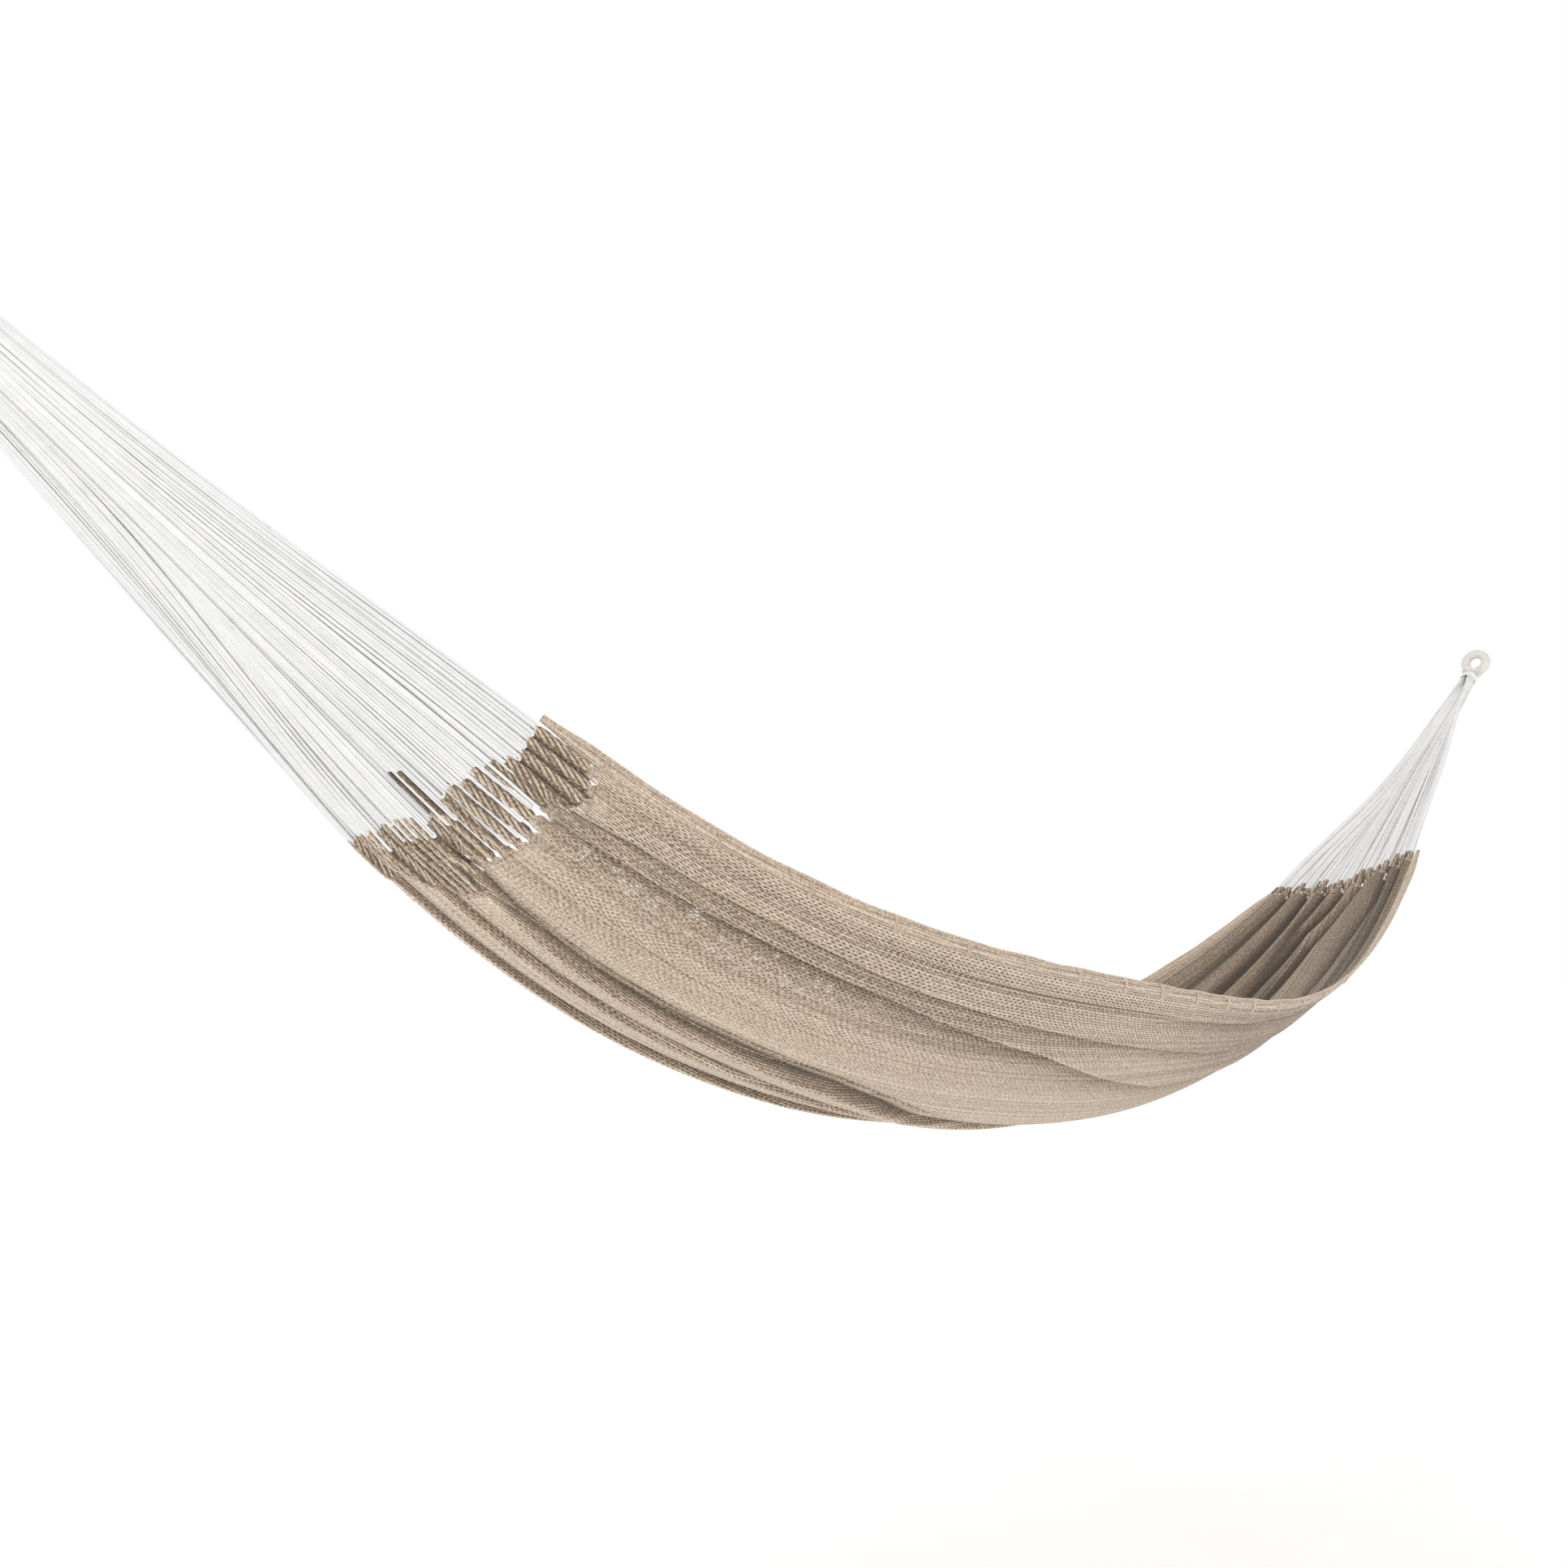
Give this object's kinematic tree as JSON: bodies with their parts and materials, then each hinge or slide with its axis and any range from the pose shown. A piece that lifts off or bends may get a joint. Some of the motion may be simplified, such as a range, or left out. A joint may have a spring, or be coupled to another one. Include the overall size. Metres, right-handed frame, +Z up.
{
  "type": "rope hammock",
  "caption": "Woven net hammock in beige cotton with fanned white suspension cords at both ends, each gathered into a wrapped eye ring, hanging empty from two hooks.",
  "frame": {"origin": "centre of the head eye's hole, where the first hook holds the hammock", "axes": "+X towards the foot eye, level with the head eye; +Z up; +Y to the back edge of the bed"},
  "size_m": [3.3449, 0.5543, 0.9436],
  "materials": {
    "net_yarn": "mottled beige cotton, matte",
    "loop_yarn": "mottled beige cotton, matte",
    "border_yarn": "plied beige cotton, matte",
    "tie_yarn": "beige cotton, matte",
    "arm_cord": "white nylon cord, soft sheen",
    "whipping_cord": "white cord, wound tight",
    "eye_wrap": "white cord wound round the rope",
    "rope_core": "laid rope"
  },
  "bodies": {
    "head_eye": {"head_eye_core": "rope_core", "head_eye_serving": "eye_wrap", "head_eye_hitch": "whipping_cord"},
    "sling": {"head_neck_whipping": "whipping_cord", "head_cords_front": "arm_cord", "head_cords_middle": "arm_cord", "head_cords_back": "arm_cord", "head_loops_front": "loop_yarn", "head_loops_middle": "loop_yarn", "head_loops_back": "loop_yarn", "bed_net": "net_yarn", "border_front": "border_yarn", "border_back": "border_yarn", "ties_front": "tie_yarn", "ties_back": "tie_yarn", "foot_loops_front": "loop_yarn", "foot_loops_middle": "loop_yarn", "foot_loops_back": "loop_yarn", "foot_cords_front": "arm_cord", "foot_cords_middle": "arm_cord", "foot_cords_back": "arm_cord", "foot_neck_whipping": "whipping_cord"},
    "foot_eye": {"foot_eye_hitch": "whipping_cord", "foot_eye_serving": "eye_wrap", "foot_eye_core": "rope_core"}
  },
  "joints": [
    {"name": "swing", "type": "hinge", "parent": "head_eye", "child": "sling", "pos_m": [0.00802, 0.00925, -0.02848], "axis": [1, 0, 0], "range_deg": [-30, 30]},
    {"name": "foot_turn", "type": "hinge", "parent": "sling", "child": "foot_eye", "pos_m": [3.30802, 0.00925, -0.02848], "axis": [1, 0, 0], "range_deg": [-30, 30]}
  ],
  "couplings": [
    {"joint": "foot_turn", "follows": "swing", "ratio": -1}
  ]
}
